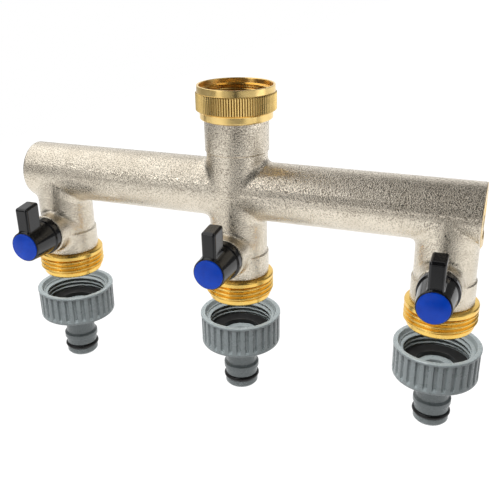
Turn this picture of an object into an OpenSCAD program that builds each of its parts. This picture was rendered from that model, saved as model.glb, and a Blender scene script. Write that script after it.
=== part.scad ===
// Three-way hose splitter: a cross tube with a swivel inlet nut on top, three legs
// that each hold a small ball valve, and a push-fit hose adapter for every outlet.
// Millimetres. The origin is the centre of the swivel nut's mouth, +Z is up the inlet,
// +X runs along the cross tube and the levers face -Y. The adapters are drawn
// unscrewed, below their outlets.

/* [Cross tube] */
// Distance between neighbouring outlet legs
leg_spacing = 98; // [92:1:110]
// Outside diameter of the cross tube
tube_d = 27.5; // [27:0.1:28.4]
// Bore of the cross tube
tube_bore_d = 21; // [19:0.5:22]
// Length of the cross tube with both end plugs
tube_length = 224; // [222:1:250]
// Depth of the tube's axis below the inlet mouth
axis_drop = 49; // [46:0.5:60]
// Length of an end plug inside the tube
plug_length = 9; // [6:0.5:10]
// Width across the flats of an end plug's socket
plug_socket = 10; // [8:1:12]

/* [Inlet neck] */
// Diameter of the neck under the swivel nut
neck_d = 29.8; // [29:0.1:31]
// Diameter of the neck's root, below its step
neck_root_d = 28.6; // [28:0.1:29]
// Height of the neck's step above the tube's axis
neck_step = 18.6; // [17:0.2:22]
// Diameter of the spigot that the nut turns on
spigot_d = 26; // [25:0.1:26.2]
// Water way through the neck
neck_bore_d = 19; // [17:0.5:20]

/* [Swivel nut] */
// Height of the nut
nut_height = 15.1; // [14.5:0.1:17]
// Diameter of the smooth rim at the mouth
nut_rim_d = 35.6; // [35.4:0.1:38]
// Height of the smooth rim
nut_rim_height = 2.9; // [2:0.1:4]
// Diameter over the knurled band
nut_knurl_d = 36.8; // [36:0.1:39]
// Diameter of the plain collar
nut_collar_d = 33.4; // [33:0.1:35]
// Height of the plain collar
nut_collar_height = 3.3; // [2:0.1:4]
// Thickness of the shoulder that the snap ring holds
nut_shoulder = 2.5; // [2:0.1:3]
// Thickness of the snap ring's wire
snap_ring_height = 1.2; // [1:0.1:1.5]
// Thickness of the inlet's flat seal
inlet_seal_height = 2.5; // [2:0.1:3]

/* [Outlet legs] */
// Diameter of a leg's upper part
leg_upper_d = 27.4; // [27:0.1:28]
// Diameter of a leg's lower part
leg_lower_d = 28.8; // [28.4:0.1:30]
// Depth of the step between both parts below the tube's axis
leg_step = 31; // [30:0.5:34]
// Depth of a leg's end below the tube's axis
leg_end = 42.2; // [41:0.2:45]
// Bore that holds the ball and its seats
chamber_d = 23.2; // [23:0.1:23.6]
// Water way from the tube down to the upper seat
passage_d = 17; // [14:0.5:18]

/* [Ball valve] */
// Depth of the stem's axis below the tube's axis
stem_drop = 28.7; // [28:0.1:30]
// Diameter of the ball
ball_d = 20; // [19.6:0.1:20.4]
// Bore of the ball
ball_bore_d = 13; // [11:0.5:14]
// Height of a seat ring
seat_height = 4.5; // [4.2:0.1:4.8]
// Diameter of the stem
stem_d = 7; // [6.6:0.1:8]
// Diameter of the boss around the stem
boss_d = 20; // [18:0.2:21]
// Distance of the boss's face from the leg's axis
boss_reach = 19.6; // [19:0.1:20]

/* [Lever] */
// Diameter of the hub behind its cap
hub_d = 15; // [14.6:0.1:16]
// Diameter of the hub where it meets its skirt
hub_base_d = 17.2; // [16:0.1:18]
// Diameter of the hub's skirt at the boss
skirt_d = 18.6; // [17:0.1:20]
// Distance of the hub's front from the leg's axis
hub_reach = 37.3; // [37:0.1:39]
// Height of the lever's tip above the stem's axis
lever_height = 20.4; // [16:0.2:22]
// Width of the lever's blade
blade_width = 7; // [5.5:0.1:8]
// Depth of the lever's blade, front to back
blade_depth = 10; // [8:0.1:11]
// Diameter of the coloured cap
cap_d = 13.8; // [13:0.1:14.6]

/* [Outlet thread] */
// Outside diameter of the outlet's thread
thread_d = 33.25; // [33.2:0.01:33.3]
// Rise of the thread in one turn
thread_pitch = 2.309; // [2.309:0.001:2.31]
// Height of the outlet's brass end below the leg
outlet_height = 12.8; // [12:0.1:14]
// Height of the flare between the leg and the band
flare_height = 1.8; // [1:0.1:3]
// Height of the smooth band above the thread
band_height = 1.9; // [1.5:0.1:2]

/* [Hose adapter] */
// Gap between the outlet's end and the loose adapter's rim
adapter_gap = 9.8; // [5:0.1:20]
// Turns from the loose place until the adapter is tight
adapter_turns = 8.5; // [8.4:0.1:8.6]
// Diameter of the adapter's nut at its rim
adapter_rim_d = 40.4; // [40:0.1:42]
// Diameter of the adapter's nut at its foot
adapter_foot_d = 39.8; // [38.5:0.1:40]
// Height of the adapter's nut
adapter_height = 16.4; // [15:0.1:17]
// Number of grip grooves around the nut
grip_count = 30; // [20:1:36]
// Depth of a grip groove
grip_depth = 0.7; // [0.4:0.1:1]
// Height of the adapter's flat seal
adapter_seal_height = 2.4; // [2:0.1:2.6]
// Length of the hose nipple below the nut
nipple_length = 25; // [24:0.2:27]
// Diameter of the nipple between ridge and seal
nipple_d = 16.4; // [15.8:0.1:16.6]
// Diameter of the ridge that a hose coupler grips
ridge_d = 17.9; // [17:0.1:18.1]
// Diameter of the nipple's tip
tip_d = 16.7; // [16:0.1:17]
// Diameter over the nipple's round seal
nipple_seal_d = 18.1; // [17.8:0.1:18.4]
// Water way through the nipple
nipple_bore_d = 11; // [9:0.5:12]

/* [Hidden] */
$fn = 96;
PLACES = ["left", "middle", "right"];
VALVE_PIECES = ["outlet_nipple", "upper_seat", "lower_seat", "valve_ball", "valve_stem",
                "stem_seals", "lever", "lever_screw", "lever_cap"];
ADAPTER_PIECES = ["adapter", "adapter_washer", "nipple_seal"];

// Colours
nickel = [0.72, 0.69, 0.63];
brass = [0.83, 0.62, 0.28];
black_plastic = [0.09, 0.09, 0.10];
blue_plastic = [0.10, 0.22, 0.72];
grey_plastic = [0.47, 0.51, 0.52];
rubber = [0.07, 0.07, 0.07];
seat_white = [0.93, 0.93, 0.90];
chrome = [0.80, 0.82, 0.84];
steel = [0.62, 0.63, 0.65];

// Gaps
eps = 0.01;           // overlap that keeps a cut clean
loose = 0.3;          // gap between pieces that turn without being fitted
running = 0.05;       // radial gap of a shaft in its bore
thread_gap = 0.35;    // radial gap between the plain cylinders that stand for two threads

// Heights along Z, from the mouth down
tube_z = -axis_drop;
nut_bottom = -nut_height;
shoulder_top = nut_bottom + nut_shoulder;
neck_top = nut_bottom - loose;
ring_bottom = shoulder_top + loose;
spigot_top = ring_bottom + snap_ring_height + 1.5;
neck_step_z = tube_z + neck_step;
stem_z = tube_z - stem_drop;
leg_step_z = tube_z - leg_step;
leg_end_z = tube_z - leg_end;
outlet_end_z = leg_end_z - outlet_height;

// Threads are plain cylinders near the pitch diameter, the male one smaller by the gap
pitch_r = thread_d / 2 - 0.64 * thread_pitch / 2;
male_r = pitch_r - thread_gap / 2;
female_r = pitch_r + thread_gap / 2;

// Swivel nut and its ring
seat_z = spigot_top + inlet_seal_height;   // where a tap's nose meets the flat seal
relief_r = female_r + 0.2;
nut_hole_r = spigot_d / 2 + loose;
ring_groove_r = spigot_d / 2 - 0.8;
ring_r = spigot_d / 2 + 1.5;
ring_split = 4;
inlet_seal_r = pitch_r - 0.8;

// Valve
seat_inner_r = 6.8;
ball_gap = 0.1;
seat_far = 9.7;                       // far face of a seat from the ball's centre
tang_width = 8.8;
tang_thick = 2.9;
tang_start = 7.5;
slot_start = 7.4;
slot_width = 3.1;
collar_r = 4.9;
collar_start = 10.5;
collar_end = 12.4;
shaft_end = 20.4;
flats_end = 28;
flats_width = 5;
seal_wire_r = 0.55;
seal_centre_r = 2.9;
stem_seal_ys = [14.6, 17.6];          // distances of both stem seals from the leg's axis
stem_groove_r = 2.3;
stem_groove_width = 1.6;

// Lever, as distances from the leg's axis
hub_back = boss_reach + 0.4;
skirt_end = hub_back + 3.5;
skirt_recess_r = 6.9;
web_start = 28.2;
web_end = 30.5;
blade_front = hub_reach - 0.5;
blade_chamfer = 1.2;
cap_bore_r = 5.5;
cap_edge = 0.6;
cap_dome = 0.7;
screw_r = 1.45;
screw_head_r = 2.9;
screw_head_height = 2.2;
screw_end = 22;

// Outlet nipple
shank_r = chamber_d / 2 - 0.1;
shank_top = stem_z - seat_far - 0.1;
outlet_bore_r = 7;
outlet_tip_chamfer = 1;

// Adapter
travel = adapter_turns * thread_pitch;
adapter_rim_z = outlet_end_z - adapter_gap;
seal_top_z = adapter_rim_z - (travel - adapter_gap) - 0.1;
seal_bottom_z = seal_top_z - adapter_seal_height;
cup_floor_z = seal_bottom_z - 0.05;
adapter_foot_z = adapter_rim_z - adapter_height;
mouth_r = 18;
mouth_depth = 2.6;
adapter_seal_r = 15.6;
adapter_seal_hole_r = 9;
neck_r = 7.7;
ridge_top_z = adapter_foot_z - 11.9;
ridge_bottom_z = ridge_top_z - 3.2;
groove_top_z = ridge_bottom_z - 3.6;
groove_bottom_z = groove_top_z - 2.4;
tip_end_z = adapter_foot_z - nipple_length;
nipple_wire_r = 1.15;
nipple_groove_r = nipple_seal_d / 2 - 2 * nipple_wire_r - 0.05;
grip_start = 0.9;
grip_length = 14;

// Cylinder that points from the leg's axis towards the levers, between two distances
module forward(from, to, r) {
    translate([0, -from, stem_z]) rotate([90, 0, 0]) cylinder(h = to - from, r = r);
}

// Torus around Z at the given height
module seal_ring(z, centre_r, wire_r) {
    translate([0, 0, z]) rotate_extrude() translate([centre_r, 0]) circle(r = wire_r, $fn = 32);
}

// Moves its children to one of the three legs
module at_leg(index) {
    translate([(index - 1) * leg_spacing, 0, 0]) children();
}

module leg_outside() {
    translate([0, 0, leg_step_z]) cylinder(h = tube_z - leg_step_z, r = leg_upper_d / 2);
    translate([0, 0, leg_end_z]) cylinder(h = leg_step_z - leg_end_z, r = leg_lower_d / 2);
    forward(5, boss_reach, boss_d / 2);
}

module leg_inside() {
    translate([0, 0, leg_end_z - 1])
        cylinder(h = stem_z + seat_far - leg_end_z + 1, r = chamber_d / 2);
    translate([0, 0, stem_z]) cylinder(h = tube_z - stem_z, r = passage_d / 2);
    forward(0, collar_end + 0.1, collar_r + 0.2);
    forward(0, boss_reach + 1, stem_d / 2 + running);
}

module manifold_body() {
    color(nickel) difference() {
        union() {
            rotate([0, 90, 0]) translate([-tube_z, 0, 0])
                cylinder(h = tube_length, r = tube_d / 2, center = true);
            translate([0, 0, tube_z]) cylinder(h = neck_step_z - tube_z, r = neck_root_d / 2);
            translate([0, 0, neck_step_z]) cylinder(h = neck_top - neck_step_z, r = neck_d / 2);
            translate([0, 0, neck_top]) cylinder(h = spigot_top - neck_top, r = spigot_d / 2);
            for (index = [0:2]) at_leg(index) leg_outside();
        }
        rotate([0, 90, 0]) translate([-tube_z, 0, 0])
            cylinder(h = tube_length + 2, r = tube_bore_d / 2, center = true);
        translate([0, 0, tube_z]) cylinder(h = axis_drop, r = neck_bore_d / 2);
        for (index = [0:2]) at_leg(index) leg_inside();
        translate([0, 0, ring_bottom - running]) difference() {
            cylinder(h = snap_ring_height + 2 * running, r = spigot_d / 2 + 1);
            translate([0, 0, -1]) cylinder(h = snap_ring_height + 3, r = ring_groove_r);
        }
    }
}

// Brass plug, flush with one end of the cross tube; side is -1 or 1
module end_plug(side) {
    plug_r = tube_bore_d / 2 - running;
    color(brass) translate([0, 0, tube_z]) rotate([0, side * 90, 0])
        translate([0, 0, tube_length / 2 - plug_length]) difference() {
            cylinder(h = plug_length, r = plug_r);
            translate([0, 0, plug_length / 2])
                cylinder(h = plug_length, r = plug_socket / sqrt(3), $fn = 6);
        }
}

// Knurled nut with its plain rim, plain collar and inner shoulder
module swivel_nut() {
    rim_bottom = -nut_rim_height;
    collar_top = nut_bottom + nut_collar_height;
    color(brass) difference() {
        rotate_extrude() polygon([
            [0, 0], [nut_rim_d / 2 - 0.4, 0], [nut_rim_d / 2, -0.4], [nut_rim_d / 2, rim_bottom],
            [nut_knurl_d / 2, rim_bottom - 0.6], [nut_knurl_d / 2, collar_top + 0.9],
            [nut_collar_d / 2, collar_top], [nut_collar_d / 2, nut_bottom + 0.6],
            [nut_collar_d / 2 - 0.6, nut_bottom], [0, nut_bottom]
        ]);
        translate([0, 0, seat_z]) cylinder(h = 20, r = female_r);
        translate([0, 0, shoulder_top]) cylinder(h = seat_z - shoulder_top + eps, r = relief_r);
        translate([0, 0, nut_bottom - 1]) cylinder(h = 20, r = nut_hole_r);
    }
}

// Split ring that keeps the nut on the spigot
module snap_ring() {
    color(steel) translate([0, 0, ring_bottom]) difference() {
        cylinder(h = snap_ring_height, r = ring_r);
        translate([0, 0, -1]) cylinder(h = snap_ring_height + 2, r = ring_groove_r + running);
        translate([-ring_split / 2, 0, -1]) cube([ring_split, 2 * ring_r, snap_ring_height + 2]);
    }
}

module inlet_seal() {
    color(rubber) translate([0, 0, spigot_top]) difference() {
        cylinder(h = inlet_seal_height, r = inlet_seal_r);
        translate([0, 0, -1]) cylinder(h = inlet_seal_height + 2, r = neck_bore_d / 2);
    }
}

// Brass end of a leg: its shank holds the lower seat, its thread takes the adapter
module outlet_nipple() {
    band_r = thread_d / 2;
    leg_r = leg_lower_d / 2;
    band_top = leg_end_z - flare_height;
    band_bottom = band_top - band_height;
    color(brass) difference() {
        rotate_extrude() polygon([
            [0, shank_top], [shank_r, shank_top], [shank_r, leg_end_z], [leg_r + 0.1, leg_end_z],
            [band_r, band_top], [band_r, band_bottom], [male_r, band_bottom - 0.8],
            [male_r, outlet_end_z + outlet_tip_chamfer],
            [male_r - outlet_tip_chamfer, outlet_end_z], [0, outlet_end_z]
        ]);
        translate([0, 0, outlet_end_z - 1])
            cylinder(h = shank_top - outlet_end_z + 2, r = outlet_bore_r);
    }
}

// Seat ring against the ball; side is 1 above the ball and -1 below it
module seat(side) {
    color(seat_white) translate([0, 0, stem_z]) difference() {
        translate([0, 0, side * (seat_far - seat_height / 2)])
            cylinder(h = seat_height, r = chamber_d / 2 - running, center = true);
        cylinder(h = 3 * seat_far, r = seat_inner_r, center = true);
        sphere(r = ball_d / 2 + ball_gap);
    }
}

// Ball in its open place, with the slot that the stem's tang turns
module valve_ball() {
    color(chrome) translate([0, 0, stem_z]) difference() {
        sphere(r = ball_d / 2);
        cylinder(h = 2 * ball_d, r = ball_bore_d / 2, center = true);
        translate([-ball_d, -slot_start - ball_d, -slot_width / 2])
            cube([2 * ball_d, ball_d, slot_width]);
    }
}

// Stem, put in from inside the leg, so that its collar can't blow out
module valve_stem() {
    color(brass) difference() {
        union() {
            translate([-tang_width / 2, -collar_start - eps, stem_z - tang_thick / 2])
                cube([tang_width, collar_start - tang_start + eps, tang_thick]);
            forward(collar_start, collar_end, collar_r);
            forward(collar_end - eps, shaft_end, stem_d / 2);
            intersection() {
                forward(shaft_end - eps, flats_end, stem_d / 2);
                translate([-flats_width / 2, -flats_end - 1, stem_z - stem_d])
                    cube([flats_width, flats_end, 2 * stem_d]);
            }
        }
        for (y = stem_seal_ys) difference() {
            forward(y - stem_groove_width / 2, y + stem_groove_width / 2, stem_d);
            forward(y - stem_groove_width, y + stem_groove_width, stem_groove_r);
        }
        forward(screw_end - 1, flats_end + 1, screw_r + running);
    }
}

// Both round seals in the stem's grooves
module stem_seals() {
    color(rubber) for (y = stem_seal_ys)
        translate([0, -y, stem_z]) rotate([90, 0, 0]) seal_ring(0, seal_centre_r, seal_wire_r);
}

// Lever in its open place: a round hub with a skirt and an upright blade
module lever() {
    half = blade_width / 2;
    shoulder = lever_height - blade_chamfer;
    color(black_plastic) difference() {
        union() {
            translate([0, -skirt_end, stem_z]) rotate([90, 0, 0])
                cylinder(h = hub_reach - skirt_end, r1 = hub_base_d / 2, r2 = hub_d / 2);
            forward(hub_back, skirt_end + eps, skirt_d / 2);
            translate([0, blade_depth - blade_front, stem_z]) rotate([90, 0, 0])
                linear_extrude(height = blade_depth) polygon([
                    [-half, 0], [half, 0], [half, shoulder], [half - blade_chamfer, lever_height],
                    [blade_chamfer - half, lever_height], [-half, shoulder]
                ]);
        }
        forward(hub_back - 1, hub_back + 2, skirt_recess_r);
        intersection() {
            forward(hub_back, web_start, stem_d / 2 + running);
            translate([-flats_width / 2 - running, -web_start - 1, stem_z - stem_d])
                cube([flats_width + 2 * running, web_start, 2 * stem_d]);
        }
        forward(hub_back, web_end + 1, screw_r + 0.25);
        forward(web_end, hub_reach + 1, cap_bore_r);
    }
}

// Screw that ties the lever to the stem
module lever_screw() {
    color(steel) difference() {
        union() {
            forward(screw_end, web_end + eps, screw_r);
            forward(web_end, web_end + screw_head_height, screw_head_r);
        }
        translate([0, -web_end - 0.8, stem_z]) rotate([90, 0, 0]) cylinder(h = 5, r = 1.4, $fn = 6);
    }
}

// Domed cap, pressed into the front of the hub
module lever_cap() {
    cap_r = cap_d / 2;
    dome_r = (cap_r * cap_r + cap_dome * cap_dome) / (2 * cap_dome);
    color(blue_plastic) translate([0, -hub_reach, stem_z]) rotate([90, 0, 0]) union() {
        cylinder(h = cap_edge, r = cap_r);
        translate([0, 0, cap_edge]) rotate_extrude() intersection() {
            translate([0, cap_dome - dome_r]) circle(r = dome_r, $fn = 720);
            square([cap_r, cap_dome + 1]);
        }
        difference() {
            translate([0, 0, -3]) cylinder(h = 3 + eps, r = cap_bore_r - running);
            translate([0, 0, -4]) cylinder(h = 4, r = cap_bore_r - 1.3);
        }
    }
}

// Plastic nut and hose nipple in one piece
module adapter() {
    foot_r = adapter_foot_d / 2;
    rim_r = adapter_rim_d / 2;
    color(grey_plastic) difference() {
        rotate_extrude() polygon([
            [0, adapter_rim_z], [rim_r - 0.5, adapter_rim_z], [rim_r, adapter_rim_z - 0.5],
            [foot_r, adapter_foot_z + 1], [foot_r - 1, adapter_foot_z], [neck_r, adapter_foot_z],
            [neck_r, ridge_top_z], [ridge_d / 2, ridge_top_z - 0.7], [ridge_d / 2, ridge_bottom_z],
            [nipple_d / 2, ridge_bottom_z - 0.4], [nipple_d / 2, groove_top_z],
            [nipple_groove_r, groove_top_z], [nipple_groove_r, groove_bottom_z],
            [tip_d / 2, groove_bottom_z], [tip_d / 2, tip_end_z + 1], [tip_d / 2 - 1, tip_end_z],
            [0, tip_end_z]
        ]);
        translate([0, 0, cup_floor_z]) cylinder(h = 20, r = female_r);
        translate([0, 0, adapter_rim_z - mouth_depth]) cylinder(h = 20, r = mouth_r);
        translate([0, 0, tip_end_z - 1]) cylinder(h = 2 * nipple_length, r = nipple_bore_d / 2);
        for (turn = [0:grip_count - 1]) rotate([0, 0, turn * 360 / grip_count])
            translate([rim_r - grip_depth, -0.6, adapter_rim_z - grip_start - grip_length])
                cube([3, 1.2, grip_length]);
    }
}

module adapter_washer() {
    color(rubber) translate([0, 0, seal_bottom_z]) difference() {
        cylinder(h = adapter_seal_height, r = adapter_seal_r);
        translate([0, 0, -1]) cylinder(h = adapter_seal_height + 2, r = adapter_seal_hole_r);
    }
}

module nipple_seal() {
    color(rubber)
        seal_ring((groove_top_z + groove_bottom_z) / 2, nipple_seal_d / 2 - nipple_wire_r, nipple_wire_r);
}

manifold_body();
end_plug(-1);  // end_plug_left
end_plug(1);  // end_plug_right
swivel_nut();
snap_ring();
inlet_seal();
for (index = [0:2]) at_leg(index) {
    place = PLACES[index];
    outlet_nipple();
    seat(1);
    seat(-1);
    valve_ball();
    valve_stem();
    stem_seals();
    lever();
    lever_screw();
    lever_cap();
    adapter();
    adapter_washer();
    nipple_seal();
}
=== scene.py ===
"""Hose splitter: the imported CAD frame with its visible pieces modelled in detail.

Sizes are in millimetres and turned into metres where a mesh is made. Z is up the inlet,
X runs along the cross tube and the levers face -Y.
"""
import math

import bmesh
import bpy
import numpy as np
import openvdb
from mathutils import Matrix, Vector


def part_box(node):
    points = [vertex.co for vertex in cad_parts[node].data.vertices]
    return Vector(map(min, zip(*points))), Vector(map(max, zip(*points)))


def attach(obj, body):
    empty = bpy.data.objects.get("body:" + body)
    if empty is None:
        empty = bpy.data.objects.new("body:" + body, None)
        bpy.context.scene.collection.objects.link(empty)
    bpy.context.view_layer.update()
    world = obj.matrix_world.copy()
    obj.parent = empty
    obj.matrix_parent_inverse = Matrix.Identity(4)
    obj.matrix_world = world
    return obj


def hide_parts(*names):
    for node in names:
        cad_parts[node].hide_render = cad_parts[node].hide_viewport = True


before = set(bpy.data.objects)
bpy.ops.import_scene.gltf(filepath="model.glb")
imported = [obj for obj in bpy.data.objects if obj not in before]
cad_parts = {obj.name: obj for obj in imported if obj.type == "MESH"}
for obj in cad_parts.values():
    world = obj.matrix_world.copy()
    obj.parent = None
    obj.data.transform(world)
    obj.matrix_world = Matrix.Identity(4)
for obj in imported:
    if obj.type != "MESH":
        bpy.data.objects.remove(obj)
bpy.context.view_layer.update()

MM = 0.001
PLACES = ("left", "middle", "right")
DOWN = math.radians(-90)          # direction of -Y in the XY plane


def node_box(node):
    """Lowest and highest corner of a CAD node, in millimetres."""
    low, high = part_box(node)
    return np.array(low) / MM, np.array(high) / MM


# Places read from the frame
manifold_low, manifold_high = node_box("manifold_body")
nut_low, nut_high = node_box("swivel_nut")
plug_low, plug_high = node_box("end_plug_right")
washer_low, washer_high = node_box("adapter_washer_middle")
adapter_low, adapter_high = node_box("adapter_middle")
outlet_low, outlet_high = node_box("outlet_nipple_middle")
cap_low, cap_high = node_box("lever_cap_middle")
lever_low, lever_high = node_box("lever_middle")
seal_low, seal_high = node_box("inlet_seal")
ring_low, ring_high = node_box("nipple_seal_middle")
upper_seat_low, upper_seat_high = node_box("upper_seat_middle")
clip_low, clip_high = node_box("snap_ring")

TUBE_Z = (plug_low[2] + plug_high[2]) / 2
TUBE_END = plug_high[0]
STEM_Z = (cap_low[2] + cap_high[2]) / 2
LEG_X = {place: float(np.mean([b[0] for b in node_box(f"lever_cap_{place}")])) for place in PLACES}

# Manifold
TUBE_R = 13.75
TUBE_BORE_R = 10.5
NECK_R = 14.9
NECK_ROOT_R = 14.3
NECK_STEP_Z = TUBE_Z + 18.6
NECK_TOP = nut_low[2] - 0.3
SPIGOT_R = 13.0
SPIGOT_TOP = seal_low[2]
CLIP_GROOVE_R = SPIGOT_R - 0.8
NECK_BORE_R = 9.5
LEG_UPPER_R = 13.7
LEG_LOWER_R = 14.4
LEG_STEP_Z = TUBE_Z - 31.0
LEG_END_Z = manifold_low[2]
CHAMBER_R = 11.6
CHAMBER_TOP = upper_seat_high[2]
PASSAGE_R = 8.5
BOSS_R = 9.75
BOSS_REACH = 19.6
STEM_BORE_R = 3.55
COLLAR_BORE_R = 5.1
COLLAR_BORE_END = 12.5            # in front of the leg's axis
PLUG_R = 10.4
PLUG_HALF_FLATS = 5.0             # half the width of the plug's hexagon socket

# Swivel nut
NUT_RIM_R = 17.8
NUT_KNURL_R = nut_high[0]
NUT_COLLAR_R = 16.7
NUT_ENTRY = -2.3                  # smooth wall above the nut's thread
KNURL_TOP = -3.0
KNURL_BOTTOM = nut_low[2] + 3.4
KNURL_DEPTH = 0.5
KNURL_TEETH = 96

# Threads: one helix for all of them, so that male and female threads mesh at every pose
PITCH = 2.309
THREAD_R = 33.25 / 2
THREAD_DEPTH = 0.64 * PITCH
THREAD_GAP = 0.15


# ---------------------------------------------------------------- meshes

def add_object(name, mesh, body, material, replaced=()):
    """Links a mesh as a piece that rides on a body and stands for the CAD nodes it replaces."""
    piece = bpy.data.objects.new(name, mesh)
    bpy.context.scene.collection.objects.link(piece)
    mesh.materials.append(material)
    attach(piece, body)
    if replaced:
        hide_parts(*replaced)
    return piece


def finish_mesh(mesh, sharp_degrees=None):
    """Outward normals, merged points and smooth shading, with edges sharper than an angle kept."""
    work = bmesh.new()
    work.from_mesh(mesh)
    bmesh.ops.remove_doubles(work, verts=work.verts, dist=1e-7)
    bmesh.ops.recalc_face_normals(work, faces=work.faces)
    work.to_mesh(mesh)
    work.free()
    mesh.polygons.foreach_set("use_smooth", [True] * len(mesh.polygons))
    if sharp_degrees:
        mesh.set_sharp_from_angle(angle=math.radians(sharp_degrees))
    mesh.update()


def outline(corners, arc_steps=4):
    """Closed outline from (r, h) or (r, h, fillet radius) corners, with arcs in place of corners."""
    points = []
    count = len(corners)
    for index, corner in enumerate(corners):
        here = np.array(corner[:2], float)
        radius = corner[2] if len(corner) > 2 else 0.0
        if radius <= 0:
            points.append(here)
            continue
        back = np.array(corners[index - 1][:2], float) - here
        ahead = np.array(corners[(index + 1) % count][:2], float) - here
        back_length, ahead_length = np.linalg.norm(back), np.linalg.norm(ahead)
        back, ahead = back / back_length, ahead / ahead_length
        half = math.acos(float(np.clip(back @ ahead, -1, 1))) / 2
        reach = min(radius / math.tan(half), 0.48 * back_length, 0.48 * ahead_length)
        radius = reach * math.tan(half)
        middle = back + ahead
        centre = here + middle / np.linalg.norm(middle) * radius / math.sin(half)
        start, end = here + back * reach - centre, here + ahead * reach - centre
        for step in range(arc_steps + 1):
            blend = step / arc_steps
            arm = start * (1 - blend) + end * blend
            points.append(centre + arm / np.linalg.norm(arm) * radius)
    return np.array(points)


def refine(points, step, low=-1e9, high=1e9):
    """Adds points on edges longer than a step that lie between two heights."""
    result = []
    for index, here in enumerate(points):
        ahead = points[(index + 1) % len(points)]
        result.append(here)
        length = np.linalg.norm(ahead - here)
        inside = low <= (here[1] + ahead[1]) / 2 <= high
        pieces = int(length / step) if inside and max(here[0], ahead[0]) > 0 else 1
        for piece in range(1, pieces):
            result.append(here + (ahead - here) * piece / pieces)
    return np.array(result)


def revolve(name, points, segments, centre, radial=None, axis="z"):
    """Turns a closed (r, h) outline about Z, or about -Y when axis is "y".
    radial(r, h, angle) may change the radius from place to place."""
    angles = np.arange(segments) * 2 * math.pi / segments
    r, angle = np.meshgrid(points[:, 0], angles)
    h = np.broadcast_to(points[:, 1], r.shape)
    if radial:
        r = radial(r, h, angle)
    if axis == "z":
        x, y, z = r * np.cos(angle), r * np.sin(angle), h
    else:
        x, y, z = r * np.cos(angle), -h, r * np.sin(angle)
    vertices = np.stack([x + centre[0], y + centre[1], z + centre[2]], -1).reshape(-1, 3) * MM
    count = len(points)
    column, row = np.meshgrid(np.arange(segments), np.arange(count), indexing="ij")
    next_column, next_row = (column + 1) % segments, (row + 1) % count
    faces = np.stack([column * count + row, next_column * count + row,
                      next_column * count + next_row, column * count + next_row], -1)
    closed = (points[:, 0] <= 0) & (np.roll(points[:, 0], -1) <= 0)
    faces = faces[:, ~closed].reshape(-1, 4)
    mesh = bpy.data.meshes.new(name)
    mesh.from_pydata(vertices.tolist(), [], faces.tolist())
    return mesh


def thread_wave(h, angle):
    """1 on a male thread's crest and 0 in its root, along the common right-hand helix."""
    wave = np.cos(2 * math.pi * h / PITCH - angle)
    return 0.5 + 0.5 * np.tanh(1.2 * wave) / math.tanh(1.2)


def soft_step(value, low, high):
    """0 below the low limit, 1 above the high one, smooth between them."""
    t = np.clip((value - low) / (high - low), 0, 1)
    return t * t * (3 - 2 * t)


def fade(value, low, high, width):
    """1 between two limits and 0 beyond them, with soft ends."""
    rise = np.clip((value - low) / width, 0, 1)
    fall = np.clip((high - value) / width, 0, 1)
    both = np.minimum(rise, fall)
    return both * both * (3 - 2 * both)


# ---------------------------------------------------------------- distance fields

def blend_union(first, second, k):
    """Union of two distance fields with a fillet of about k."""
    mix = np.clip(0.5 + 0.5 * (second - first) / k, 0, 1)
    return second + (first - second) * mix - k * mix * (1 - mix)


def rod(across, along, radius, low, high, rounding=0.3):
    """Distance to a round rod; across is the distance from its axis, along the place on it."""
    side = across - (radius - rounding)
    end = np.abs(along - (low + high) / 2) - ((high - low) / 2 - rounding)
    outside = np.sqrt(np.maximum(side, 0) ** 2 + np.maximum(end, 0) ** 2)
    return np.minimum(np.maximum(side, end), 0) + outside - rounding


def block(x, y, z, low, high, rounding):
    """Distance to a box with rounded edges."""
    parts = []
    for value, a, b in zip((x, y, z), low, high):
        parts.append(np.abs(value - (a + b) / 2) - ((b - a) / 2 - rounding))
    outside = np.sqrt(sum(np.maximum(part, 0) ** 2 for part in parts))
    inside = np.minimum(np.maximum(np.maximum(parts[0], parts[1]), parts[2]), 0)
    return outside + inside - rounding


def cut(solid, tool):
    """A distance field with another taken away."""
    return np.maximum(solid, -tool)


def field_mesh(name, distance, low, high, voxel, passes=3):
    """Mesh of a distance field's surface: voxels give the net, then each point is moved on to
    the true surface. Sizes are in millimetres."""
    axes = [np.arange(a, b + voxel, voxel) for a, b in zip(low, high)]
    shape = tuple(len(axis) for axis in axes)
    values = np.empty(shape, np.float32)
    for index, x in enumerate(axes[0]):
        y, z = np.meshgrid(axes[1], axes[2], indexing="ij")
        values[index] = distance(np.full_like(y, x), y, z)
    grid = openvdb.FloatGrid(3 * voxel)
    grid.copyFromArray(np.clip(values, -3 * voxel, 3 * voxel))
    points, quads = grid.convertToQuads(0.0)
    points = points.astype(np.float64) * voxel + np.array([axis[0] for axis in axes])
    step = 0.02
    for _ in range(passes):
        here = distance(*points.T)
        slope = np.stack([(distance(*(points + step * unit).T) - distance(*(points - step * unit).T))
                          / (2 * step) for unit in np.eye(3)], -1)
        length = np.maximum((slope ** 2).sum(-1), 0.25)
        move = slope * (here / length)[:, None]
        points -= np.clip(move, -voxel, voxel)
    mesh = bpy.data.meshes.new(name)
    mesh.from_pydata((points * MM).tolist(), [], quads[:, ::-1].tolist())
    return mesh


# ---------------------------------------------------------------- materials

def new_material(name):
    """A material with its node tree and its Principled shader."""
    material = bpy.data.materials.new(name)
    material.use_nodes = True
    tree = material.node_tree
    shader = tree.nodes["Principled BSDF"]
    return material, tree, shader


def node(tree, kind, **values):
    """A shader node with its inputs set; an input is a value or another node's output."""
    made = tree.nodes.new(kind)
    for key, value in values.items():
        if key.startswith("p_"):
            setattr(made, key[2:], value)
            continue
        socket = made.inputs[int(key[1:])] if key[0] == "i" and key[1:].isdigit() else made.inputs[key]
        if isinstance(value, bpy.types.NodeSocket):
            tree.links.new(value, socket)
        else:
            socket.default_value = value
    return made


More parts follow.
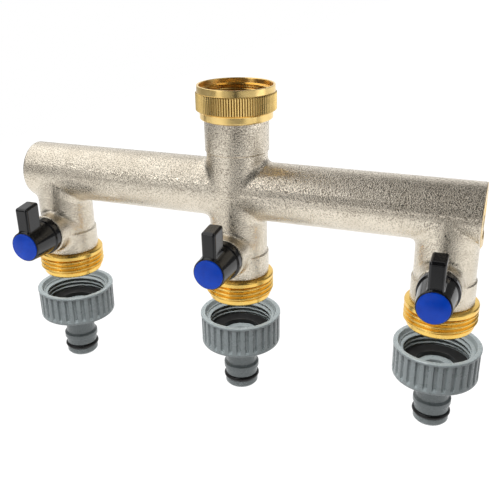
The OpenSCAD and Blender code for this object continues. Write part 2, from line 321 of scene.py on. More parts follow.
def math_node(tree, operation, *inputs):
    """Result of a Math node; each input is a number or another node's output."""
    made = node(tree, "ShaderNodeMath", p_operation=operation)
    for index, value in enumerate(inputs):
        if isinstance(value, bpy.types.NodeSocket):
            tree.links.new(value, made.inputs[index])
        else:
            made.inputs[index].default_value = value
    return made.outputs[0]


def place_of(tree):
    """Place on the object, in metres."""
    return node(tree, "ShaderNodeTexCoord").outputs["Object"]


def noise(tree, vector, grain, detail=2.0, rough=0.5):
    """Noise with grains of about the given size in millimetres, from 0 to 1."""
    made = node(tree, "ShaderNodeTexNoise", Vector=vector, Scale=1.0 / (grain * MM), Detail=detail,
                Roughness=rough)
    return made.outputs["Fac"]


def remap(tree, value, low, high, to_low=0.0, to_high=1.0):
    """Value taken from one range to another and kept inside it."""
    made = node(tree, "ShaderNodeMapRange", Value=value)
    made.inputs["From Min"].default_value = low
    made.inputs["From Max"].default_value = high
    made.inputs["To Min"].default_value = to_low
    made.inputs["To Max"].default_value = to_high
    return made.outputs["Result"]


def mix_colour(tree, factor, first, second):
    """First colour where the factor is 0, second where it is 1."""
    made = node(tree, "ShaderNodeMix", p_data_type="RGBA")
    for index, value in ((0, factor), (6, first), (7, second)):
        if isinstance(value, bpy.types.NodeSocket):
            tree.links.new(value, made.inputs[index])
        else:
            made.inputs[index].default_value = value
    return made.outputs[2]


def bump(tree, height, strength, distance, below=None):
    """Normal of a relief whose depth is given in millimetres, on top of another bump's normal."""
    made = node(tree, "ShaderNodeBump", Height=height, Strength=strength, Distance=distance * MM)
    if below is not None:
        tree.links.new(below, made.inputs["Normal"])
    return made.outputs["Normal"]


def link(tree, output, shader, name):
    """Joins an output to the shader's input of that name."""
    tree.links.new(output, shader.inputs[name])


# Plating: dark and light clouds, and the pits between the grains; the second set's near-black pits are
# painted shade, used at the top of the tube and towards +X
FINE_BLAST = ((0.70, 0.63, 0.515, 1), (0.78, 0.71, 0.59, 1), (0.56, 0.49, 0.395, 1))
BLAST_WITH_PAINTED_SHADE = ((0.77, 0.695, 0.575, 1), (0.86, 0.78, 0.655, 1), (0.20, 0.155, 0.11, 1))
FACED_BRASS = (0.80, 0.57, 0.24, 1)


def nickel_material():
    """Sand-blasted and nickel-plated casting, with machined brass on the tube's end faces. At the top
    and towards +X the pits are painted near-black over a lighter ground: painted shade in the grain."""
    material, tree, shader = new_material("nickel_plate")
    where = place_of(tree)
    parts = node(tree, "ShaderNodeSeparateXYZ", Vector=where)
    x, z = parts.outputs["X"], parts.outputs["Z"]
    grain = noise(tree, where, 0.66, 2.5, 0.70)
    cloud = remap(tree, noise(tree, where, 9.0, 2.0), 0.35, 0.65)
    # Painted shade: at the top of the tube and towards +X the grain's pits turn near-black over a lighter
    # ground
    upper = remap(tree, z, (TUBE_Z - 0.5 * TUBE_R) * MM, (TUBE_Z + 0.2 * TUBE_R) * MM)
    along = remap(tree, x, -45 * MM, 55 * MM, 0.25, 1.0)
    shaded_grain = math_node(tree, "MULTIPLY", upper, along)
    fine_tone = mix_colour(tree, cloud, FINE_BLAST[0], FINE_BLAST[1])
    shaded_grain_ground = mix_colour(tree, cloud, BLAST_WITH_PAINTED_SHADE[0], BLAST_WITH_PAINTED_SHADE[1])
    tone = mix_colour(tree, shaded_grain, fine_tone, shaded_grain_ground)
    pit = mix_colour(tree, shaded_grain, FINE_BLAST[2], BLAST_WITH_PAINTED_SHADE[2])
    tone = mix_colour(tree, remap(tree, grain, 0.335, 0.465), pit, tone)
    across = math_node(tree, "ABSOLUTE", x)
    end = remap(tree, across, (TUBE_END - 0.30) * MM, (TUBE_END - 0.15) * MM)
    above = remap(tree, z, (TUBE_Z - TUBE_R - 0.1) * MM, (TUBE_Z - TUBE_R) * MM)
    face = math_node(tree, "MULTIPLY", end, above)
    link(tree, mix_colour(tree, face, tone, FACED_BRASS), shader, "Base Color")
    link(tree, remap(tree, grain, 0.3, 0.7, 0.24, 0.17), shader, "Roughness")
    shader.inputs["Metallic"].default_value = 1.0
    waves = bump(tree, noise(tree, where, 7.0, 1.0), 0.5, 0.10)
    pits = bump(tree, remap(tree, grain, 0.33, 0.56), 1.0, 0.074, waves)
    link(tree, pits, shader, "Normal")
    return material


def brass_material(name, colour, dark, rough, painted_light_and_shade=()):
    """Turned brass: cutter marks around the piece's axis spread its gloss along the axis.
    The last argument lists painted light and shade about the inlet's axis, each as (colour, radius
    where it is full, radius where it ends, least radius, least height)."""
    material, tree, shader = new_material(name)
    where = place_of(tree)
    parts = node(tree, "ShaderNodeSeparateXYZ", Vector=where)
    height = node(tree, "ShaderNodeCombineXYZ", Z=parts.outputs["Z"])
    rings = noise(tree, height.outputs[0], 0.6, 1.0)
    patch = noise(tree, where, 6.0, 3.0)
    tone = mix_colour(tree, remap(tree, patch, 0.3, 0.7), dark, colour)
    if painted_light_and_shade:
        flat = node(tree, "ShaderNodeCombineXYZ", X=parts.outputs["X"], Y=parts.outputs["Y"])
        length = node(tree, "ShaderNodeVectorMath", p_operation="LENGTH", i0=flat.outputs[0])
        radius = length.outputs["Value"]
    # Each tone of painted light and shade is laid over the brass inside its band of radius
    for shade, full, end, least_radius, least_height in painted_light_and_shade:
        inside = remap(tree, radius, full * MM, end * MM, 1.0, 0.0)
        beyond = math_node(tree, "GREATER_THAN", radius, least_radius * MM)
        above = math_node(tree, "GREATER_THAN", parts.outputs["Z"], least_height * MM)
        painted_area = math_node(tree, "MULTIPLY", math_node(tree, "MULTIPLY", inside, beyond), above)
        tone = mix_colour(tree, painted_area, tone, shade)
    link(tree, tone, shader, "Base Color")
    shader.inputs["Metallic"].default_value = 1.0
    worn = remap(tree, noise(tree, where, 3.5, 1.0), 0.3, 0.7, rough * 0.85, rough * 1.2)
    link(tree, worn, shader, "Roughness")
    link(tree, bump(tree, rings, 0.15, 0.02), shader, "Normal")
    shader.inputs["Anisotropic"].default_value = 0.6
    link(tree, node(tree, "ShaderNodeCombineXYZ", Z=1.0).outputs[0], shader, "Tangent")
    return material


def plastic_material(name, colour, second, rough, grain, strength, specular=0.5):
    """Moulded plastic with a fine skin, slight cloudiness and uneven gloss."""
    material, tree, shader = new_material(name)
    where = place_of(tree)
    cloud = noise(tree, where, 5.0, 3.0)
    link(tree, mix_colour(tree, remap(tree, cloud, 0.3, 0.7), colour, second), shader, "Base Color")
    gloss = remap(tree, noise(tree, where, 3.0, 2.0), 0.3, 0.7, rough * 0.85, rough * 1.2)
    link(tree, gloss, shader, "Roughness")
    shader.inputs["Specular IOR Level"].default_value = specular
    link(tree, bump(tree, noise(tree, where, grain, 2.0), strength, 0.02), shader, "Normal")
    return material


def metal_material(name, colour, rough, grain):
    """Plain metal with fine marks that dull its colour and gloss."""
    material, tree, shader = new_material(name)
    where = place_of(tree)
    shader.inputs["Metallic"].default_value = 1.0
    scratch = noise(tree, where, grain, 3.0)
    dark = tuple(0.8 * value for value in colour[:3]) + (1,)
    link(tree, mix_colour(tree, scratch, dark, colour), shader, "Base Color")
    link(tree, remap(tree, scratch, 0.3, 0.7, rough * 0.8, rough * 1.3), shader, "Roughness")
    link(tree, bump(tree, scratch, 0.1, 0.01), shader, "Normal")
    return material


# Painted light and shade on the nut: a deeper orange on the inner thread stands in for light bounced
# inside it; dark brown in the knurl's grooves is painted shade
NUT_PAINTED_LIGHT_AND_SHADE = [
    ((0.98, 0.66, 0.22, 1), THREAD_R + 0.3, THREAD_R + 0.5, 0.0, KNURL_BOTTOM),
    ((0.40, 0.25, 0.07, 1), NUT_KNURL_R - KNURL_DEPTH, NUT_KNURL_R - 0.04, NUT_RIM_R + 0.1, nut_low[2])]

NICKEL = nickel_material()
NUT_BRASS = brass_material("nut_brass", (1.0, 0.74, 0.31, 1), (0.92, 0.65, 0.24, 1), 0.28, NUT_PAINTED_LIGHT_AND_SHADE)
OUTLET_BRASS = brass_material("outlet_brass", (0.96, 0.66, 0.19, 1), (0.90, 0.57, 0.13, 1), 0.27)
BLACK = plastic_material("lever_black", (0.006, 0.006, 0.007, 1), (0.010, 0.010, 0.011, 1),
                         rough=0.14, grain=0.5, strength=0.05)
BLUE = plastic_material("cap_blue", (0.0, 0.062, 0.60, 1), (0.0, 0.080, 0.72, 1),
                        rough=0.22, grain=0.4, strength=0.05, specular=0.25)
GREY = plastic_material("adapter_grey", (0.150, 0.172, 0.176, 1), (0.165, 0.187, 0.191, 1),
                        rough=0.28, grain=0.3, strength=0.10)
RUBBER = plastic_material("seal_rubber", (0.005, 0.005, 0.005, 1), (0.009, 0.009, 0.009, 1),
                          rough=0.38, grain=0.25, strength=0.15, specular=0.3)
WHITE = plastic_material("seat_white", (0.78, 0.78, 0.75, 1), (0.83, 0.83, 0.81, 1),
                         rough=0.45, grain=0.4, strength=0.08)
CHROME = metal_material("ball_chrome", (0.72, 0.73, 0.75, 1), rough=0.08, grain=0.6)
STEEL = metal_material("spring_steel", (0.50, 0.50, 0.52, 1), rough=0.30, grain=0.3)
SCREW = metal_material("screw_steel", (0.58, 0.58, 0.60, 1), rough=0.25, grain=0.3)


# ---------------------------------------------------------------- manifold

def leg_outside(x, y, z):
    """One leg with its lip and its stem boss; x is counted from the leg's axis."""
    across = np.sqrt(x * x + y * y)
    upper = rod(across, z, LEG_UPPER_R, LEG_STEP_Z - 3, TUBE_Z)
    lower = rod(across, z, LEG_LOWER_R, LEG_END_Z, LEG_STEP_Z, 0.35)
    leg = blend_union(upper, lower, 0.35)
    boss_across = np.sqrt(x * x + (z - STEM_Z) ** 2)
    boss = rod(boss_across, -y, BOSS_R, 4, BOSS_REACH, 0.45)
    return blend_union(leg, boss, 2.6)


def leg_inside(x, y, z):
    """Room for the ball and its seats, the water way above them and the stem's bore."""
    across = np.sqrt(x * x + y * y)
    boss_across = np.sqrt(x * x + (z - STEM_Z) ** 2)
    space = rod(across, z, CHAMBER_R, LEG_END_Z - 5, CHAMBER_TOP)
    space = np.minimum(space, rod(across, z, PASSAGE_R, STEM_Z, TUBE_Z))
    space = np.minimum(space, rod(boss_across, -y, STEM_BORE_R, 2, BOSS_REACH + 3, 0.1))
    return np.minimum(space, rod(boss_across, -y, COLLAR_BORE_R, 2, COLLAR_BORE_END, 0.1))


def manifold_distance(x, y, z):
    """Tube, legs and the neck below its step; the joins are rounder away from the tube's middle."""
    tube_across = np.sqrt(y * y + (z - TUBE_Z) ** 2)
    neck_across = np.sqrt(x * x + y * y)
    body = rod(tube_across, x, TUBE_R, -TUBE_END, TUBE_END, 0.5)
    nearest = np.where(np.abs(x) < LEG_X["right"] / 2, 0.0, np.sign(x) * LEG_X["right"])
    drop = soft_step((TUBE_Z - z) / TUBE_R, 0.15, 0.85)
    body = blend_union(body, leg_outside(x - nearest, y, z), 0.25 + 3.2 * drop)
    root = rod(neck_across, z, NECK_ROOT_R, TUBE_Z, NECK_STEP_Z + 1)
    rise = soft_step((z - TUBE_Z) / TUBE_R, 0.15, 0.85)
    body = blend_union(body, root, 0.8 + 2.2 * rise)
    body = cut(body, rod(tube_across, x, TUBE_BORE_R, -TUBE_END - 3, TUBE_END + 3))
    body = cut(body, rod(neck_across, z, NECK_BORE_R, TUBE_Z, 0))
    return cut(body, leg_inside(x - nearest, y, z))


def turned_neck():
    """Neck above its step, with the spigot for the swivel nut and the snap ring's groove."""
    lowest = NECK_STEP_Z - 0.4
    corners = [(NECK_BORE_R, lowest), (NECK_ROOT_R - 0.3, lowest), (NECK_ROOT_R - 0.3, NECK_STEP_Z),
               (NECK_ROOT_R, NECK_STEP_Z), (NECK_R, NECK_STEP_Z + 0.7, 0.12), (NECK_R, NECK_TOP, 0.3),
               (SPIGOT_R, NECK_TOP), (SPIGOT_R, clip_low[2] - 0.05, 0.1),
               (CLIP_GROOVE_R, clip_low[2] - 0.05),
               (CLIP_GROOVE_R, clip_high[2] + 0.05), (SPIGOT_R, clip_high[2] + 0.05, 0.1),
               (SPIGOT_R, SPIGOT_TOP, 0.2), (NECK_BORE_R, SPIGOT_TOP, 0.2)]
    mesh = revolve("neck", outline(corners), 192, (0, 0, 0))
    finish_mesh(mesh, 30)
    return mesh


def make_manifold():
    """The casting, with the turned part of its neck in the same piece."""
    voxel = 0.42
    edge = 2 * voxel
    low = (-LEG_X["right"] - LEG_LOWER_R - edge, -BOSS_REACH - edge, LEG_END_Z - edge)
    high = (LEG_X["right"] + LEG_LOWER_R + edge, NECK_R + edge, NECK_STEP_Z + 1 + edge)
    mesh = field_mesh("manifold", manifold_distance, low, high, voxel)
    finish_mesh(mesh)
    work = bmesh.new()
    work.from_mesh(mesh)
    work.from_mesh(turned_neck())
    work.to_mesh(mesh)
    work.free()
    add_object("manifold_casting", mesh, "manifold", NICKEL, ["manifold_body"])


def make_end_plug(place, side):
    """Brass plug with a hexagon socket, flush with the tube's end."""
    length = plug_high[0] - plug_low[0]
    flats = PLUG_HALF_FLATS
    corners = [(0, 0), (PLUG_R, 0, 0.4), (PLUG_R, length, 0.6), (flats + 1.2, length),
               (flats, length - 1.0), (flats, length / 2), (0, length / 2 - 1.5)]

    def socket(r, h, angle):
        turn = np.mod(angle, math.pi / 3) - math.pi / 6
        hexagon = (r <= flats) & (r > 0)
        return np.where(hexagon, r / np.cos(turn), r)

    mesh = revolve(f"plug_{place}", outline(corners), 96, (0, 0, 0), socket)
    turn = Matrix.Rotation(side * math.radians(90), 4, "Y")
    mesh.transform(Matrix.Translation((side * (TUBE_END - length) * MM, 0, TUBE_Z * MM)) @ turn)
    finish_mesh(mesh, 30)
    add_object(f"tube_plug_{place}", mesh, "manifold", NUT_BRASS, [f"end_plug_{place}"])


# ---------------------------------------------------------------- swivel nut

def make_swivel_nut():
    """Knurled nut with its plain rim, plain collar, female thread and inner shoulder."""
    bottom, shoulder, hole = nut_low[2], nut_low[2] + 2.5, SPIGOT_R + 0.3
    minor, major = THREAD_R - THREAD_DEPTH + 0.2, THREAD_R + THREAD_GAP
    corners = [(NUT_RIM_R, 0, 0.25), (NUT_RIM_R, KNURL_TOP, 0.15), (NUT_KNURL_R - 0.35, KNURL_TOP - 0.05),
               (NUT_KNURL_R, KNURL_TOP - 0.45), (NUT_KNURL_R, KNURL_BOTTOM + 0.7),
               (NUT_COLLAR_R, KNURL_BOTTOM - 0.3, 0.2), (NUT_COLLAR_R, bottom, 0.5), (hole, bottom, 0.3),
               (hole, shoulder, 0.2), (minor, shoulder, 0.3), (minor, NUT_ENTRY - 0.5),
               (major, NUT_ENTRY, 0.15), (major, 0, 0.4)]
    points = refine(outline(corners), 0.13, shoulder + 0.6, NUT_ENTRY + 0.2)

    def surface(r, h, angle):
        inner = (r < THREAD_R) & (r > hole + 0.5) & (h > shoulder + 0.3)
        crest = fade(h, shoulder + 0.6, NUT_ENTRY + 0.1, 0.8)
        female = minor + (major - minor) * thread_wave(h, angle) * crest
        r = np.where(inner, np.maximum(r, female), r)
        tooth = np.abs(np.mod(angle * KNURL_TEETH / (2 * math.pi), 1.0) * 2 - 1)
        knurl = fade(h, KNURL_BOTTOM - 0.1, KNURL_TOP - 0.02, 0.25)
        outer = r > NUT_RIM_R + 0.1
        return np.where(outer, r - KNURL_DEPTH * tooth ** 1.3 * knurl, r)

    mesh = revolve("nut", points, KNURL_TEETH * 8, (0, 0, 0), surface)
    finish_mesh(mesh, 38)
    add_object("knurled_nut", mesh, "inlet_nut", NUT_BRASS, ["swivel_nut"])


def make_inlet_seal():
    """Flat seal on the spigot, under the tap's nose."""
    corners = [(NECK_BORE_R, seal_low[2], 0.3), (seal_high[0], seal_low[2], 0.3),
               (seal_high[0], seal_high[2], 0.3), (NECK_BORE_R, seal_high[2], 0.3)]
    mesh = revolve("inlet_washer", outline(corners), 128, (0, 0, 0))
    finish_mesh(mesh, 40)
    add_object("inlet_washer", mesh, "manifold", RUBBER, ["inlet_seal"])


# ---------------------------------------------------------------- outlets

SHOULDER_Z = LEG_END_Z - 0.7      # where the round shoulder under the leg reaches full width
BAND_BOTTOM = LEG_END_Z - 2.5     # end of the plain band above the thread
THREAD_END = outlet_low[2] + 3.4  # a chamfer leads from here to the plain tip
TIP_START = outlet_low[2] + 2.5
OUTLET_BORE_R = 7.0


def make_outlet(place):
    """Brass end of a leg: shank inside the leg, flared band, male thread, chamfered tip."""
    top, tip = outlet_high[2], outlet_low[2]
    root = THREAD_R - THREAD_DEPTH
    corners = [(OUTLET_BORE_R, top, 0.3), (CHAMBER_R - 0.1, top, 0.3),
               (CHAMBER_R - 0.1, LEG_END_Z + 0.01), (LEG_LOWER_R + 0.05, LEG_END_Z - 0.02, 0.1),
               (THREAD_R - 0.4, LEG_END_Z - 0.25, 0.2), (THREAD_R, SHOULDER_Z, 0.3),
               (THREAD_R, THREAD_END), (root - 0.02, TIP_START, 0.3), (root - 0.05, tip + 0.7, 0.4),
               (root - 0.6, tip, 0.3), (OUTLET_BORE_R + 1.6, tip, 0.3), (OUTLET_BORE_R, tip + 2.5)]
    points = refine(outline(corners), 0.06, TIP_START, BAND_BOTTOM + 0.6)

    def surface(r, h, angle):
        cutter = root + THREAD_DEPTH * thread_wave(h, angle)
        depth = soft_step(-h, -BAND_BOTTOM - 0.1, 0.5 - BAND_BOTTOM)
        threaded = (r > root) & (h < BAND_BOTTOM + 0.3) & (h > TIP_START)
        return np.where(threaded, np.minimum(r, THREAD_R + (cutter - THREAD_R) * depth), r)

    mesh = revolve(f"outlet_{place}", points, 288, (LEG_X[place], 0, 0), surface)
    finish_mesh(mesh, 65)
    add_object(f"threaded_end_{place}", mesh, "manifold", OUTLET_BRASS,
               [f"outlet_nipple_{place}"])


# ---------------------------------------------------------------- levers

HUB_R = 7.5
HUB_BASE_R = 8.6
SKIRT_R = 9.3
HUB_FRONT = 37.3
HUB_BACK = 20.0
SKIRT_END = 23.5
BLADE_HALF = 3.5
BLADE_FRONT = 36.8
BLADE_BACK = 26.8
BLADE_TOP = lever_high[2] - STEM_Z
BLADE_SLOPE = 0.1
POCKET_R = 6.9                    # hollow in the back of the skirt
STEM_SLOT = (2.55, 3.5)           # half the width and height of the slot for the stem's flats
WEB_BACK = 28.2                   # web that the screw clamps, between the slot and the cap's bore
WEB_FRONT = 30.5
SCREW_HOLE_R = 1.7
CAP_BORE_R = 5.5
CAP_RING_DEPTH = 3.0


def lever_distance(x, y, z):
    """Lever about its stem's axis; y is the distance in front of the leg's axis."""
    across = np.sqrt(x * x + z * z)
    taper = (HUB_BASE_R - HUB_R) * (HUB_FRONT - y) / (HUB_FRONT - SKIRT_END)
    hub = rod(across - taper, y, HUB_R, HUB_BACK + 1, HUB_FRONT, 0.4)
    skirt = rod(across, y, SKIRT_R, HUB_BACK, SKIRT_END, 0.5)
    hub = blend_union(hub, skirt, 0.4)
    drop = BLADE_SLOPE * (y - BLADE_BACK)
    waist = 1 - 0.0035 * np.clip(BLADE_TOP - z, 0, BLADE_TOP)
    blade = block(x / waist, y, z + drop, (-BLADE_HALF, BLADE_BACK, -2),
                  (BLADE_HALF, BLADE_FRONT, BLADE_TOP), 1.3)
    body = blend_union(hub, blade, 0.9)
    slot_x, slot_z = STEM_SLOT
    slot = block(x, y, z, (-slot_x, HUB_BACK - 3, -slot_z), (slot_x, WEB_BACK, slot_z), 0.2)
    body = cut(body, rod(across, y, POCKET_R, HUB_BACK - 3, HUB_BACK + 2, 0.1))
    body = cut(body, slot)
    body = cut(body, rod(across, y, SCREW_HOLE_R, HUB_BACK, HUB_FRONT, 0.1))
    return cut(body, rod(across, y, CAP_BORE_R, WEB_FRONT, HUB_FRONT + 3, 0.1))


def make_lever(place):
    """Black lever with its hub; its distance field looks forwards, along -Y."""
    voxel = 0.24
    low = (-SKIRT_R - 1, HUB_BACK - 1, -SKIRT_R - 1)
    high = (SKIRT_R + 1, HUB_FRONT + 1, BLADE_TOP + 1.5)
    mesh = field_mesh(f"lever_{place}", lever_distance, low, high, voxel)
    forwards = Matrix.Scale(-1, 4, (0, 1, 0))
    mesh.transform(Matrix.Translation((LEG_X[place] * MM, 0, STEM_Z * MM)) @ forwards)
    finish_mesh(mesh)
    add_object(f"lever_arm_{place}", mesh, f"valve_{place}", BLACK, [f"lever_{place}"])


def make_cap(place):
    """Domed blue cap with a soft edge, and the ring that holds it in the hub."""
    cap_r = cap_high[0]
    edge, dome, start = HUB_FRONT + 0.45, HUB_FRONT + 1.3, HUB_FRONT + 0.02
    rise = dome - edge
    dome_r = (cap_r ** 2 + rise ** 2) / (2 * rise)
    arc = [(r, dome - dome_r + math.sqrt(dome_r ** 2 - r ** 2)) for r in cap_r * np.linspace(0, 0.9, 9)]
    outer, inner, back = CAP_BORE_R - 0.05, CAP_BORE_R - 1.3, start - CAP_RING_DEPTH
    corners = arc + [(cap_r, edge + 0.12, 0.55), (cap_r, start), (outer, start), (outer, back, 0.3),
                     (inner, back, 0.3), (inner, start - 0.2), (0, start - 0.2)]
    mesh = revolve(f"cap_{place}", outline(corners), 96, (LEG_X[place], 0, STEM_Z), axis="y")
    finish_mesh(mesh, 40)
    add_object(f"blue_cap_{place}", mesh, f"valve_{place}", BLUE, [f"lever_cap_{place}"])


# ---------------------------------------------------------------- adapters

LOOSE_PIECES = bpy.data.collections.new("loose_pieces")   # lit past the manifold's shadow

RIM_Z = adapter_high[2]
CUP_FLOOR = washer_low[2] - 0.05
FOOT_Z = RIM_Z - 16.4
MOUTH_R = 18.0
MOUTH_Z = RIM_Z - 2.6             # bottom of the mouth's cone, top of the female thread
CUP_MINOR_R = THREAD_R - THREAD_DEPTH + 0.1
CUP_MAJOR_R = THREAD_R + THREAD_GAP + 0.1
WASHER_ROOM_R = washer_high[0] + 0.4
RIM_R = 20.2
RIM_HEIGHT = 1.3
FOOT_R = 19.85
GRIPS = 30
GRIP_LAND = 0.56                  # part of the way from a land's middle to a groove's middle
GRIP_EDGE = 0.11                  # the same for the slope between them
GRIP_DEPTH = 1.0
LAND_CROWN = 0.12
GRIP_TOP = RIM_Z - RIM_HEIGHT
GRIP_BOTTOM = FOOT_Z + 1.2
NECK_PLASTIC_R = 7.7
RIDGE_R = 8.95
RIDGE_TOP = FOOT_Z - 11.9
RIDGE_BOTTOM = RIDGE_TOP - 3.2
BARREL_R = 8.2
GROOVE_TOP = ring_high[2] + 0.05
GROOVE_BOTTOM = ring_low[2] - 0.05
GROOVE_R = 6.7
TIP_R = 8.35
TIP_Z = adapter_low[2]
NIPPLE_BORE_R = 5.5
WASHER_HOLE_R = 9.0
PARTING = DOWN + math.radians(18)
PARTING_HEIGHT = 0.10
PARTING_HALF_WIDTH = 0.22 / 8.0   # as an angle


def adapter_surface(r, h, angle):
    """Grip grooves outside the nut, the female thread inside it, and the mould's parting line."""
    turn = np.abs(np.mod(angle * GRIPS / (2 * math.pi), 1.0) * 2 - 1)
    groove = soft_step(turn, GRIP_LAND, GRIP_LAND + GRIP_EDGE)
    land = LAND_CROWN * (turn / GRIP_LAND) ** 2
    foot_end = soft_step(h, GRIP_BOTTOM, GRIP_BOTTOM + 2.4)
    rim_end = soft_step(-h, -GRIP_TOP, 0.5 - GRIP_TOP)
    grip = np.minimum(foot_end, rim_end) * (GRIP_DEPTH * groove + land * (1 - groove))
    r = np.where((r > FOOT_R - 0.3) & (h > GRIP_BOTTOM - 1), r - grip, r)

    wall = (r > CUP_MINOR_R - 0.4) & (r < THREAD_R + 0.9)
    inner = wall & (h > CUP_FLOOR + 0.3) & (h < MOUTH_Z + 0.2)
    low, high = CUP_FLOOR + 2.8, MOUTH_Z + 0.1
    relief = np.where(h > (low + high) / 2, CUP_MAJOR_R, WASHER_ROOM_R)
    cutter = CUP_MINOR_R + (THREAD_DEPTH + THREAD_GAP) * thread_wave(h, angle)
    r = np.where(inner, relief + (cutter - relief) * fade(h, low, high, 0.8), r)

    outside = (h < FOOT_Z - 0.5) & (r > GROOVE_R + 0.3)
    for seam in (PARTING, PARTING + math.pi):
        away = np.abs(np.mod(angle - seam + math.pi, 2 * math.pi) - math.pi)
        ridge = PARTING_HEIGHT * np.clip(1 - away / PARTING_HALF_WIDTH, 0, 1)
        r = r + np.where(outside, ridge, 0.0)
    return r


def make_adapter(place):
    """Grey nut and hose nipple in one moulding."""
    corners = [(RIM_R, RIM_Z, 0.4), (RIM_R, RIM_Z - RIM_HEIGHT + 0.3, 0.15),
               (FOOT_R + 0.1, RIM_Z - RIM_HEIGHT, 0.1), (FOOT_R, FOOT_Z, 1.1),
               (NECK_PLASTIC_R, FOOT_Z, 0.8), (NECK_PLASTIC_R, RIDGE_TOP, 0.6),
               (RIDGE_R, RIDGE_TOP - 0.8, 0.35), (RIDGE_R, RIDGE_BOTTOM, 0.35),
               (BARREL_R, RIDGE_BOTTOM - 0.4, 0.3), (BARREL_R, GROOVE_TOP, 0.15),
               (GROOVE_R, GROOVE_TOP, 0.2), (GROOVE_R, GROOVE_BOTTOM, 0.2),
               (TIP_R, GROOVE_BOTTOM, 0.15), (TIP_R, TIP_Z + 1.2, 0.3), (TIP_R - 1.0, TIP_Z, 0.3),
               (NIPPLE_BORE_R, TIP_Z, 0.4), (NIPPLE_BORE_R, CUP_FLOOR, 0.4),
               (WASHER_ROOM_R, CUP_FLOOR, 0.2), (CUP_MAJOR_R, MOUTH_Z),
               (MOUTH_R - 0.7, MOUTH_Z + 0.5, 0.3), (MOUTH_R, RIM_Z, 0.3)]
    points = refine(outline(corners), 0.16, CUP_FLOOR + 0.3, MOUTH_Z + 0.3)
    points = refine(points, 0.5, GRIP_BOTTOM - 1, GRIP_TOP + 1)
    mesh = revolve(f"adapter_{place}", points, GRIPS * 16, (LEG_X[place], 0, 0), adapter_surface)
    finish_mesh(mesh, 42)
    piece = add_object(f"hose_adapter_{place}", mesh, f"adapter_{place}", GREY,
                       [f"adapter_{place}"])
    LOOSE_PIECES.objects.link(piece)


def make_washer(place):
    """Flat seal on the floor of the adapter's nut."""
    bottom, top, outer = washer_low[2], washer_high[2], washer_high[0]
    inner = WASHER_HOLE_R
    corners = [(inner, bottom, 0.3), (outer, bottom, 0.3), (outer, top, 0.35), (inner, top, 0.35)]
    mesh = revolve(f"washer_{place}", outline(corners), 128, (LEG_X[place], 0, 0))
    finish_mesh(mesh, 40)
    piece = add_object(f"flat_washer_{place}", mesh, f"washer_{place}", RUBBER,
                       [f"adapter_washer_{place}"])
    LOOSE_PIECES.objects.link(piece)


def make_ring(place):
    """Round seal in the nipple's groove."""
    wire = (ring_high[2] - ring_low[2]) / 2
    centre_r, z = ring_high[0] - wire, (ring_high[2] + ring_low[2]) / 2
    turns = np.arange(24) * 2 * math.pi / 24
    points = np.stack([centre_r + wire * np.cos(turns), z + wire * np.sin(turns)], -1)
    mesh = revolve(f"ring_{place}", points, 144, (LEG_X[place], 0, 0))
    finish_mesh(mesh)
    piece = add_object(f"round_seal_{place}", mesh, f"adapter_{place}", RUBBER,
                       [f"nipple_seal_{place}"])
    LOOSE_PIECES.objects.link(piece)


# ---------------------------------------------------------------- CAD nodes that stay

def dress_kept_nodes():
    """Materials for the CAD nodes that keep their shape."""
    valve = {"upper_seat": WHITE, "lower_seat": WHITE, "valve_ball": CHROME, "valve_stem": NUT_BRASS,
             "stem_seals": RUBBER, "lever_screw": SCREW}
    kept = {"snap_ring": STEEL}
    for place in PLACES:
        for name, material in valve.items():
            kept[f"{name}_{place}"] = material
    for name, material in kept.items():
        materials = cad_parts[name].data.materials
        materials.clear()
        materials.append(material)


# ---------------------------------------------------------------- stage, light and camera

FLOOR_Z = -270.0
FLOOR_HALF = 12000.0
SHADE_TURN = math.radians(20)     # from -Y towards +X: where the studio's dark corner is
WHITE_LIGHT = (1, 1, 1, 1)


def make_stage():
    """White floor. The camera sees it evenly lit; what the metal mirrors of it is bright near the
    object and dark in one corner in front of it. From below it is clear."""
    floor = bpy.data.meshes.new("floor")
    half, depth = FLOOR_HALF * MM, FLOOR_Z * MM
    floor.from_pydata([(-half, -half, depth), (half, -half, depth), (half, half, depth),
                       (-half, half, depth)], [], [(0, 1, 2, 3)])
    stage = bpy.data.objects.new("floor", floor)
    bpy.context.scene.collection.objects.link(stage)
    material = bpy.data.materials.new("floor_white")
    material.use_nodes = True
    tree = material.node_tree
    tree.nodes.clear()
    where = place_of(tree)
    parts = node(tree, "ShaderNodeSeparateXYZ", Vector=where)
    turned = node(tree, "ShaderNodeVectorRotate", Vector=where, p_rotation_type="Z_AXIS",
                  Angle=-SHADE_TURN)
    corner = node(tree, "ShaderNodeSeparateXYZ", Vector=turned.outputs[0])
    away = remap(tree, corner.outputs["Y"], -0.34, -0.64)
    beside = math_node(tree, "ABSOLUTE", corner.outputs["X"])
    inside = remap(tree, beside, 0.30, 0.52, 1.0, 0.0)
    shade = math_node(tree, "MULTIPLY", away, inside)
    lit = remap(tree, shade, 0.0, 1.0, 1.08, 0.05)
    left = remap(tree, parts.outputs["X"], -1.3, -0.7, 0.3, 1.0)
    glow = math_node(tree, "MULTIPLY", lit, left)
    seen = node(tree, "ShaderNodeLightPath").outputs["Is Camera Ray"]
    strength = math_node(tree, "MAXIMUM", glow, seen)
    light = node(tree, "ShaderNodeEmission", Strength=strength, Color=WHITE_LIGHT)
    clear = node(tree, "ShaderNodeBsdfTransparent")
    under = node(tree, "ShaderNodeNewGeometry").outputs["Backfacing"]
    surface = node(tree, "ShaderNodeMixShader", i0=under, i1=light.outputs[0], i2=clear.outputs[0])
    target = node(tree, "ShaderNodeOutputMaterial")
    tree.links.new(surface.outputs[0], target.inputs["Surface"])
    floor.materials.append(material)


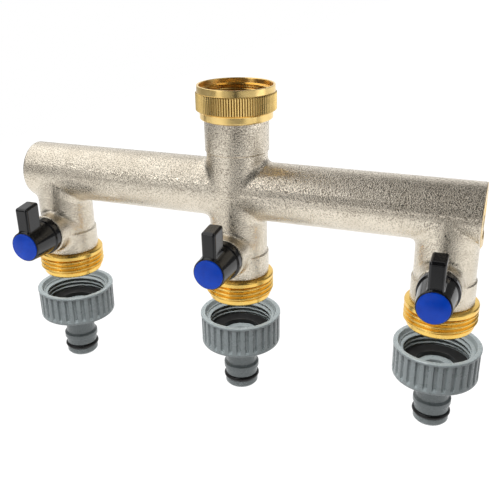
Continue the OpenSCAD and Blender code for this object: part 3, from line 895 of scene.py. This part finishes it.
def make_world():
    """Dark room with a white backdrop behind the object; all of it is white to the camera."""
    world = bpy.data.worlds.new("studio")
    world.use_nodes = True
    tree = world.node_tree
    background = tree.nodes["Background"]
    direction = node(tree, "ShaderNodeTexCoord").outputs["Generated"]
    towards = node(tree, "ShaderNodeSeparateXYZ", Vector=direction)
    behind = remap(tree, towards.outputs["Y"], 0.1, 0.45)
    low = remap(tree, towards.outputs["Z"], 0.55, 0.8, 1.0, 0.0)
    aside = remap(tree, towards.outputs["X"], 0.12, 0.40, 1.0, 0.1)
    white = math_node(tree, "MULTIPLY", math_node(tree, "MULTIPLY", behind, low), aside)
    backdrop = math_node(tree, "MULTIPLY_ADD", white, 0.9, 0.05)
    seen = node(tree, "ShaderNodeLightPath").outputs["Is Camera Ray"]
    tree.links.new(math_node(tree, "MAXIMUM", backdrop, seen), background.inputs["Strength"])
    background.inputs["Color"].default_value = WHITE_LIGHT
    bpy.context.scene.world = world


def add_light(name, place, target, size, radiance, only=None):
    """Soft box: radiance is how bright it looks in a mirror, where 1 is the white floor.
    With a collection, it lights those pieces only, and only they cast its shadows."""
    data = bpy.data.lights.new(name, "AREA")
    data.shape = "RECTANGLE"
    data.size, data.size_y = size
    data.energy = radiance * math.pi * size[0] * size[1]
    light = bpy.data.objects.new(name, data)
    bpy.context.scene.collection.objects.link(light)
    light.location = place
    light.rotation_euler = (Vector(target) - Vector(place)).to_track_quat("-Z", "Y").to_euler()
    if only:
        light.light_linking.receiver_collection = only
        light.light_linking.blocker_collection = only


def make_lights():
    """Name, place, target, size and radiance of each soft box, in metres."""
    add_light("overhead", (-0.61, -0.45, 0.60), (-0.61, -0.45, 0.0), (0.88, 1.85), 1.35)
    add_light("left_front", (-0.565, -1.06, 0.27), (0, 0, -0.04), (0.36, 0.62), 1.2)
    add_light("right", (0.85, 0.10, 0.15), (0, 0, -0.1), (0.5, 0.6), 0.8)
    add_light("upper_right", (0.50, -0.02, 0.74), (0, 0, -0.03), (0.45, 0.45), 1.1)
    add_light("adapter_top", (-0.04, -0.15, 0.45), (0, 0, -0.12), (0.35, 0.35), 23.0, LOOSE_PIECES)


CAMERA_PLACE = (0.1207, -0.30045, TUBE_Z * MM + 0.10485)
CAMERA_YAW = math.radians(20.957)   # from straight along +Y towards -X
CAMERA_PITCH = math.radians(22.879)
CAMERA_ROLL = math.radians(0.821)
CAMERA_LENS = 51.56


def make_camera():
    """Camera in front, to the right and above, looking down on the object."""
    data = bpy.data.cameras.new("camera")
    data.sensor_width = 36.0
    data.lens = CAMERA_LENS
    data.clip_start = 0.01
    camera = bpy.data.objects.new("camera", data)
    bpy.context.scene.collection.objects.link(camera)
    level = math.cos(CAMERA_PITCH)
    forward = Vector((-math.sin(CAMERA_YAW) * level, math.cos(CAMERA_YAW) * level,
                      -math.sin(CAMERA_PITCH)))
    right = Vector((math.cos(CAMERA_YAW), math.sin(CAMERA_YAW), 0))
    up = right.cross(forward)
    turned = Matrix.Rotation(CAMERA_ROLL, 3, forward)
    right, up = turned @ right, turned @ up
    basis = Matrix((right, up, -forward)).transposed().to_4x4()
    camera.matrix_world = Matrix.Translation(CAMERA_PLACE) @ basis
    bpy.context.scene.camera = camera


make_manifold()
for place, side in (("left", -1), ("right", 1)):
    make_end_plug(place, side)
make_swivel_nut()
make_inlet_seal()
for place in PLACES:
    make_outlet(place)
    make_lever(place)
    make_cap(place)
    make_adapter(place)
    make_washer(place)
    make_ring(place)
dress_kept_nodes()
make_stage()
make_world()
make_lights()
make_camera()

bpy.context.scene.view_settings.view_transform = "Standard"
